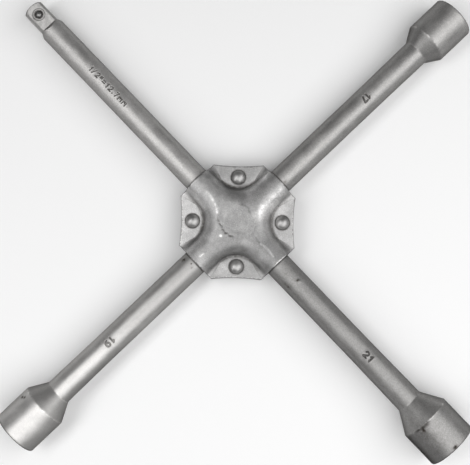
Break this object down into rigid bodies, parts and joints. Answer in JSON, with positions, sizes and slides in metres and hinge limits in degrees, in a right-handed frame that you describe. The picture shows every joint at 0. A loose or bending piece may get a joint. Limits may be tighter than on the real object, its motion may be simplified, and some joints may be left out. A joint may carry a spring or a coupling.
{
  "type": "lug wrench",
  "caption": "Four-way lug wrench: crossed round steel bars with hexagonal sockets and a sprung square drive, held by a riveted pressed-plate hub.",
  "frame": {"origin": "crossing of the bar axes, which is the middle of the object's box to within 0.8 mm", "axes": "+X along the large socket, -X along the square drive, +Y along the small socket, -Y along the medium socket, +Z out of the front plate on the detent ball's side"},
  "size_m": [0.3695, 0.368, 0.032],
  "materials": {
    "forged_steel": "satin, blasted",
    "sheet_steel": "satin, blasted",
    "rivet_steel": "satin",
    "weld_metal": "as welded",
    "ball_steel": "polished",
    "spring_wire": "drawn wire"
  },
  "bodies": {
    "wrench": {"drive_bar": "forged_steel", "small_socket_arm": "forged_steel", "medium_socket_arm": "forged_steel", "weld_small_upper": "weld_metal", "weld_small_lower": "weld_metal", "weld_medium_upper": "weld_metal", "weld_medium_lower": "weld_metal", "front_plate": "sheet_steel", "rear_plate": "sheet_steel", "rivet_top": "rivet_steel", "rivet_right": "rivet_steel", "rivet_bottom": "rivet_steel", "rivet_left": "rivet_steel", "detent_spring": "spring_wire"},
    "detent_ball": {"detent_ball": "ball_steel"}
  },
  "joints": [
    {"name": "detent_press", "type": "slide", "parent": "wrench", "child": "detent_ball", "axis": [0, 0, -1], "range_m": [0, 0.0012], "stiffness_N_per_m": 1500, "deforming": ["detent_spring"]}
  ]
}
